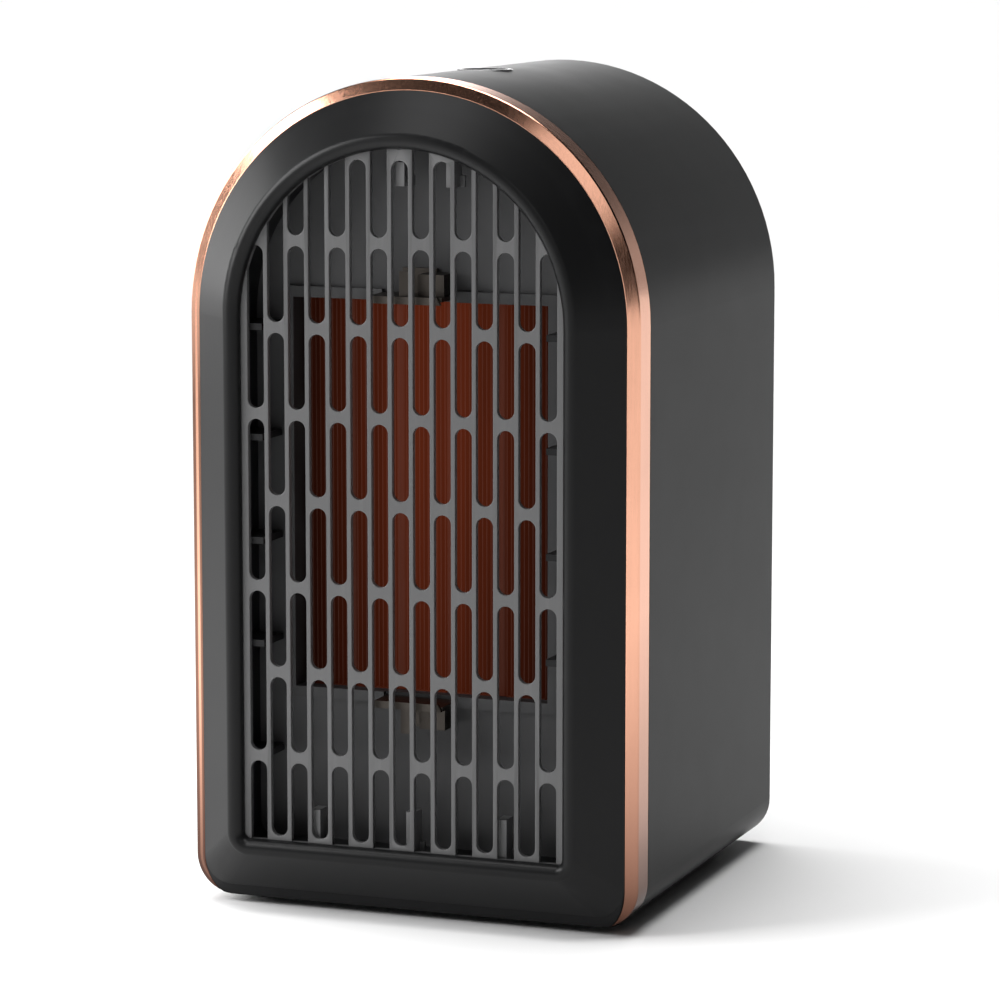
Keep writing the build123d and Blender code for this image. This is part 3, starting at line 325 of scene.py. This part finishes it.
def metal(name, colour, rough, stretch=(1, 1, 1), lines=BRUSH_CELLS):
    """Metal with fine lines along the axis that stretch makes small."""
    tree, shader, material = finish(name)
    lined = noise(tree, place(tree, stretch), lines)
    slow = noise(tree, place(tree), TARNISH_CELLS)
    darker, lighter = (shade(colour, factor) for factor in TARNISH)
    tree.links.new(tint(tree, spread(tree, slow, 0.0, 1.0), darker, lighter), shader.inputs["Base Color"])
    smoother, rougher = (rough + change for change in BRUSH_GLOSS)
    tree.links.new(spread(tree, lined, smoother, rougher), shader.inputs["Roughness"])
    tree.links.new(bump(tree, lined, BRUSH_DEPTH), shader.inputs["Normal"])
    shader.inputs["Metallic"].default_value = 1.0
    return material


def axes(tree):
    """Object coordinates split into X, Y and Z."""
    parts = tree.nodes.new("ShaderNodeSeparateXYZ")
    tree.links.new(place(tree), parts.inputs["Vector"])
    return parts.outputs


def plated(name, colour, rough):
    """Polished plating with fine lines along the strip and slow stains, with painted shade that darkens it
    strongly at the foot and on its left flank, and a painted highlight line.
    """
    tree, shader, material = finish(name)
    where = axes(tree)
    lined = noise(tree, place(tree, (1, 1, 0.02)), PLATE_LINES, 2.0)
    slow = noise(tree, place(tree), PLATE_STAIN_CELLS)
    # painted shade: near black towards the foot
    foot = spread(tree, where["Z"], FOOT_SHADE, 1.0, *FOOT_SHADE_RISE)
    # painted shade on the left flank, cleared above the arch
    flank = spread(tree, where["X"], FLANK_SHADE, 1.0, *FLANK_SHADE_WIDTH)
    upper = spread(tree, where["Z"], 0.0, 1.0, *FLANK_SHADE_CLEARS)
    lifted = combined(tree, "MAXIMUM", flank, upper)
    # painted highlight: a bright line along the front face of the flank's painted shade
    rise = spread(tree, where["Y"], 0.0, 1.0, *HIGHLIGHT_STARTS)
    fall = spread(tree, where["Y"], 1.0, 0.0, *HIGHLIGHT_ENDS)
    bright = combined(tree, "MAXIMUM", product(tree, rise, fall), lifted)
    # painted shade and highlight, times the real slow stains
    painted_light_and_stain = product(tree, product(tree, foot, bright), spread(tree, slow, PLATE_STAIN, 1.0))
    tree.links.new(tint(tree, painted_light_and_stain, PLATE_SHADE, colour), shader.inputs["Base Color"])
    smoother, rougher = (rough + change for change in PLATE_GLOSS)
    tree.links.new(spread(tree, lined, smoother, rougher), shader.inputs["Roughness"])
    tree.links.new(bump(tree, lined, PLATE_LINE_DEPTH), shader.inputs["Normal"])
    shader.inputs["Metallic"].default_value = 1.0
    return material


def foil_with_painted_glow(name, colour, glow, strength):
    """Foil of the element: bare metal with a painted glow, brightest in the middle, with fine upright bands."""
    tree, shader, material = finish(name)
    where = axes(tree)
    offset = combined(tree, "SUBTRACT", where["X"], GLOW_MIDDLE_X)
    away = tree.nodes.new("ShaderNodeMath")
    away.operation = "ABSOLUTE"
    tree.links.new(offset, away.inputs[0])
    across = spread(tree, away.outputs["Value"], 1.0, GLOW_AT_SIDES, *GLOW_ACROSS)
    along = spread(tree, where["Z"], GLOW_AT_FOOT, 1.0, *GLOW_ALONG)
    bands = spread(tree, noise(tree, place(tree, (1, 0.02, 0.01)), BAND_CELLS, 1.0), *FOIL_BANDS)
    # painted glow: heat here is the strength of the glow over the foil
    heat = product(tree, product(tree, across, along), bands)
    # painted glow of a part that is no lamp
    shader.inputs["Emission Color"].default_value = (*glow, 1.0)
    tree.links.new(product(tree, heat, strength), shader.inputs["Emission Strength"])
    tree.links.new(tint(tree, bands, shade(colour, 0.8), colour), shader.inputs["Base Color"])
    shader.inputs["Specular IOR Level"].default_value = 0.12
    shader.inputs["Roughness"].default_value = 0.6
    return material


def dress(material, *nodes):
    """Gives fixed nodes a finish."""
    for name in nodes:
        slots = NODES[name].data.materials
        slots.clear()
        slots.append(material)


# ------------------------------------------------------------------ new pieces

def settle(piece, material, body, replaced=()):
    """Shades a new piece, gives it its finish, and fixes it to a body."""
    piece.data.materials.clear()
    piece.data.materials.append(material)
    piece.data.shade_smooth()
    piece.data.set_sharp_from_angle(angle=SMOOTH_BELOW)
    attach(piece, body)
    if replaced:
        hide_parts(*replaced)


def new_piece(name, bm):
    """Writes a bmesh into a new linked object at the origin."""
    mesh = bpy.data.meshes.new(name)
    bm.to_mesh(mesh)
    bm.free()
    piece = bpy.data.objects.new(name, mesh)
    bpy.context.scene.collection.objects.link(piece)
    return piece


def copy_node(name, node, joined=0.3):
    """A new piece from a fixed node's shape, with its doubles merged.

    Faces that meet at less than joined degrees are made one."""
    bm = bmesh.new()
    bm.from_mesh(NODES[node].data)
    bmesh.ops.remove_doubles(bm, verts=bm.verts, dist=MERGE_DISTANCE)
    bmesh.ops.dissolve_limit(bm, angle_limit=math.radians(joined), verts=bm.verts, edges=bm.edges)
    piece = new_piece(name, bm)
    for stale in ("custom_normal", "sharp_face", "sharp_edge"):
        if stale in piece.data.attributes:
            piece.data.attributes.remove(piece.data.attributes[stale])
    return piece


def cuboid(bm, lower, upper):
    """Box between two corners."""
    lower, upper = Vector(lower), Vector(upper)
    middle = Matrix.Translation((lower + upper) / 2)
    stretch = Matrix.Diagonal((*(upper - lower), 1.0))
    bmesh.ops.create_cube(bm, size=1.0, matrix=middle @ stretch)


def keep_flat(piece):
    """Weights the shading by face area, so flat faces stay flat."""
    weighted = piece.modifiers.new("Flat Faces", "WEIGHTED_NORMAL")
    weighted.mode = "FACE_AREA"
    weighted.weight = 100
    weighted.keep_sharp = True


def soften(piece, width, segments=2, angle=40.0, clamp=True):
    """Rounds the sharp edges of a piece with a live bevel and keeps its flat faces flat.

    The clamp holds the bevel to what the piece's shortest edges allow."""
    bevel = piece.modifiers.new("Rounded Edges", "BEVEL")
    bevel.width = width
    bevel.segments = segments
    bevel.limit_method = "ANGLE"
    bevel.angle_limit = math.radians(angle)
    bevel.use_clamp_overlap = clamp
    keep_flat(piece)


# ------------------------------------------------------------------ operators

def colours():
    """The scene's colours of the finishes."""
    return bpy.context.scene.heater_colours


def sizes():
    """The scene's sizes of the detailed pieces."""
    return bpy.context.scene.heater_sizes


class HEATER_OT_housing(bpy.types.Operator):
    """Satin black housing, rear cover and base"""

    bl_idname = "heater.housing"
    bl_label = "Housing"

    def execute(self, context):
        black = moulded("Satin Black Housing", colours().housing, 0.33, shine=0.06)
        dress(black, "body_shell", "base_plate")
        cover = copy_node("moulded_rear_cover", "rear_cover")
        soften(cover, sizes().edge_round)
        settle(cover, black, "housing", ["rear_cover"])
        dress(moulded("Black Mesh", colours().housing, 0.6), "dust_screen")
        return {"FINISHED"}


class HEATER_OT_front(bpy.types.Operator):
    """Bright strip and sloped bezel"""

    bl_idname = "heater.front"
    bl_label = "Front"

    def execute(self, context):
        dress(moulded("Satin Black Bezel", colours().bezel, 0.34, shine=0.17), "front_bezel")
        strip = copy_node("bright_strip", "trim_strip", 0.1)
        soften(strip, sizes().trim_round, 3, 20.0, clamp=False)
        settle(strip, plated("Rose Gold", colours().trim, 0.17), "housing", ["trim_strip"])
        return {"FINISHED"}


class HEATER_OT_grille(bpy.types.Operator):
    """Outlet grille, with its edges rounded in the finish only"""

    bl_idname = "heater.grille"
    bl_label = "Outlet Grille"

    def execute(self, context):
        grille = copy_node("outlet_grille", "front_grille")
        keep_flat(grille)
        grey = moulded("Grey Grille", colours().grille, 0.30, shine=0.4, eased=sizes().bar_round)
        settle(grille, grey, "housing", ["front_grille"])
        return {"FINISHED"}


class HEATER_OT_element(bpy.types.Operator):
    """Heating element, its frame and its fittings"""

    bl_idname = "heater.element"
    bl_label = "Heating Element"

    def execute(self, context):
        dress(moulded("Frame Grey", colours().frame_grey, 0.5, shine=0.3), "heater_frame")
        # the foil and tubes get a painted glow
        dress(foil_with_painted_glow("Foil With Painted Glow", (0.022, 0.009, 0.006), colours().glow, sizes().painted_glow_strength),
              "fin_packs", "heating_tubes")
        dress(moulded("Insulator Black", (0.02, 0.02, 0.022), 0.5), "element_cap_top", "element_cap_bottom")
        dress(moulded("Fired Ceramic", (0.3, 0.29, 0.28), 0.8), "ceramic_stones")
        dress(metal("Darkened Spring Steel", (0.07, 0.062, 0.055), 0.45), "element_clips")
        dress(metal("Spring Steel", (0.42, 0.42, 0.43), 0.4), "element_terminals", "thermal_cutoff")
        dress(metal("Bare Aluminium", (0.7, 0.7, 0.71), 0.35), "thermal_fuse", "capacitor")
        return {"FINISHED"}


class HEATER_OT_fan(bpy.types.Operator):
    """Fan, shroud and motor"""

    bl_idname = "heater.fan"
    bl_label = "Fan and Motor"

    def execute(self, context):
        dress(moulded("Fan Nylon", (0.02, 0.02, 0.022), 0.45), "fan_impeller", "fan_shroud")
        dress(metal("Drawn Steel", (0.42, 0.43, 0.45), 0.35, (1, 0.05, 1)), "motor_can", "motor_end_plate",
              "motor_mount", "motor_rotor", "motor_shaft")
        dress(metal("Sintered Bronze", (0.5, 0.33, 0.15), 0.5), "motor_bearings")
        dress(metal("Enamelled Copper", (0.5, 0.2, 0.08), 0.35, (1, 1, 1), 1500.0), "motor_stator")
        return {"FINISHED"}


def power_mark(top, sunk):
    """Open ring with an upright bar, printed on the button between two heights."""
    bm = bmesh.new()
    inner, outer = MARK_RADIUS - MARK_LINE / 2, MARK_RADIUS + MARK_LINE / 2
    turn = Matrix.Rotation(math.pi / 2 + MARK_GAP, 3, "Z")
    corners = [bm.verts.new(turn @ Vector((radius, 0, z))) for radius, z in
               ((inner, sunk), (outer, sunk), (outer, top), (inner, top))]
    end = bm.faces.new(corners)
    bmesh.ops.spin(bm, geom=[end], cent=(0, 0, 0), axis=(0, 0, 1), steps=MARK_STEPS,
                   angle=2 * (math.pi - MARK_GAP))
    half = MARK_LINE / 2
    cuboid(bm, (-half, MARK_RADIUS * BAR_FROM, sunk), (half, MARK_RADIUS * BAR_TO, top))
    bmesh.ops.recalc_face_normals(bm, faces=bm.faces)
    return new_piece("power_mark", bm)


class HEATER_OT_controls(bpy.types.Operator):
    """Push button with its mark, board and switches"""

    bl_idname = "heater.controls"
    bl_label = "Controls"

    def execute(self, context):
        dress(moulded("Polished Black", (0.012, 0.012, 0.013), 0.2, POLISHED_CELLS, POLISHED_DEPTH),
              "button_cap")
        dress(moulded("Polished Ring", (0.03, 0.03, 0.031), 0.22, POLISHED_CELLS, POLISHED_DEPTH),
              "button_ring")
        cap_top = high("button_cap").z
        mark = power_mark(cap_top + MARK_PROUD, cap_top - MARK_SUNK)
        settle(mark, moulded("Mark Grey", (0.32, 0.32, 0.33), 0.5), "button")
        dress(moulded("Switch Black", (0.03, 0.03, 0.03), 0.45), "tact_switch", "tact_plunger", "tip_switch",
              "tip_plunger", "power_relay")
        dress(moulded("Board Green", (0.02, 0.12, 0.05), 0.3, 400.0), "control_board")
        dress(moulded("Connector White", (0.75, 0.73, 0.68), 0.45), "board_connectors")
        return {"FINISHED"}


class HEATER_OT_fittings(bpy.types.Operator):
    """Screws, feet, gland and wires"""

    bl_idname = "heater.fittings"
    bl_label = "Fittings"

    def execute(self, context):
        dress(metal("Zinc Steel", (0.5, 0.51, 0.53), 0.33), "rear_screws", "base_screws", "frame_screws",
              "shroud_screws", "mount_screws", "motor_screws", "board_screws")
        dress(moulded("Foot Rubber", (0.02, 0.02, 0.02), 0.75, 1200.0), "rubber_feet", "cord_gland")
        dress(moulded("Silicone White", (0.7, 0.7, 0.68), 0.55), "heater_wires")
        dress(moulded("Lead Red", (0.5, 0.04, 0.03), 0.5), "motor_wires")
        return {"FINISHED"}


def area_light(name, place_at, aim_at, width, height, power):
    """Soft rectangular light at a place, turned to a point."""
    data = bpy.data.lights.new(name, "AREA")
    data.shape = "RECTANGLE"
    data.size = width
    data.size_y = height
    data.energy = power
    lamp = bpy.data.objects.new(name, data)
    lamp.location = place_at
    lamp.rotation_euler = (Vector(aim_at) - Vector(place_at)).to_track_quat("-Z", "Y").to_euler()
    bpy.context.scene.collection.objects.link(lamp)


class HEATER_OT_stage(bpy.types.Operator):
    """Pale floor, soft light and camera"""

    bl_idname = "heater.stage"
    bl_label = "Stage"

    def execute(self, context):
        scene = context.scene
        bm = bmesh.new()
        bmesh.ops.create_grid(bm, x_segments=2, y_segments=2, size=sizes().floor_width / 2)
        ground = new_piece("studio_floor", bm)
        tree, shader, material = finish("Studio Floor")
        slow = noise(tree, place(tree), 3.0, 2.0)
        pale = colours().floor
        tree.links.new(tint(tree, slow, shade(pale, 0.99), pale), shader.inputs["Base Color"])
        shader.inputs["Roughness"].default_value = 0.8
        shader.inputs["Specular IOR Level"].default_value = 0.1
        ground.data.materials.append(material)

        camera_data = bpy.data.cameras.new("Camera")
        camera_data.lens = sizes().lens
        camera_data.sensor_width = SENSOR_WIDTH
        camera_data.clip_start, camera_data.clip_end = CLIPPING
        camera = bpy.data.objects.new("Camera", camera_data)
        camera.location = CAMERA_PLACE
        camera.rotation_euler = CAMERA_TURN
        scene.collection.objects.link(camera)
        scene.camera = camera

        world = bpy.data.worlds.new("Studio")
        world.use_nodes = True
        tree = world.node_tree
        background = tree.nodes["Background"]
        coordinates = tree.nodes.new("ShaderNodeTexCoord")
        parts = tree.nodes.new("ShaderNodeSeparateXYZ")
        tree.links.new(coordinates.outputs["Generated"], parts.inputs["Vector"])
        back = spread(tree, parts.outputs["Y"], *SKY_BACK)
        height = spread(tree, parts.outputs["Z"], *SKY_HEIGHT)
        side = spread(tree, parts.outputs["X"], *SKY_SIDE)
        tree.links.new(product(tree, product(tree, back, height), side), background.inputs["Strength"])
        background.inputs["Color"].default_value = (1.0, 1.0, 1.0, 1.0)
        scene.world = world
        scene.view_settings.view_transform = "Standard"

        for light in SOFT_LIGHTS:
            area_light(*light)
        above = bpy.data.lights.new("Overhead", "SUN")
        above.energy = OVERHEAD_POWER
        above.angle = OVERHEAD_ANGLE
        lamp = bpy.data.objects.new("Overhead", above)
        lamp.rotation_euler = OVERHEAD_TURN
        scene.collection.objects.link(lamp)
        return {"FINISHED"}


class HEATER_PT_panel(bpy.types.Panel):
    """Lists the heater's pieces and its stage"""

    bl_idname = "HEATER_PT_panel"
    bl_label = "Ceramic Heater"
    bl_space_type = "VIEW_3D"
    bl_region_type = "UI"
    bl_category = "Heater"

    def draw(self, context):
        layout = self.layout
        for group in (context.scene.heater_sizes, context.scene.heater_colours):
            for name in group.bl_rna.properties.keys():
                if name not in {"rna_type", "name"}:
                    layout.prop(group, name)
        for operator in OPERATORS:
            layout.operator(operator.bl_idname)


OPERATORS = (HEATER_OT_housing, HEATER_OT_front, HEATER_OT_grille, HEATER_OT_element, HEATER_OT_fan,
             HEATER_OT_controls, HEATER_OT_fittings, HEATER_OT_stage)
CLASSES = (HeaterSizes, HeaterColours, *OPERATORS, HEATER_PT_panel)


def register():
    for item in CLASSES:
        bpy.utils.register_class(item)
    bpy.types.Scene.heater_sizes = bpy.props.PointerProperty(type=HeaterSizes)
    bpy.types.Scene.heater_colours = bpy.props.PointerProperty(type=HeaterColours)


def unregister():
    del bpy.types.Scene.heater_colours
    del bpy.types.Scene.heater_sizes
    for item in reversed(CLASSES):
        bpy.utils.unregister_class(item)


def main():
    """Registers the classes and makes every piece."""
    register()
    bpy.ops.heater.housing()
    bpy.ops.heater.front()
    bpy.ops.heater.grille()
    bpy.ops.heater.element()
    bpy.ops.heater.fan()
    bpy.ops.heater.controls()
    bpy.ops.heater.fittings()
    bpy.ops.heater.stage()


if __name__ == "__main__":
    main()
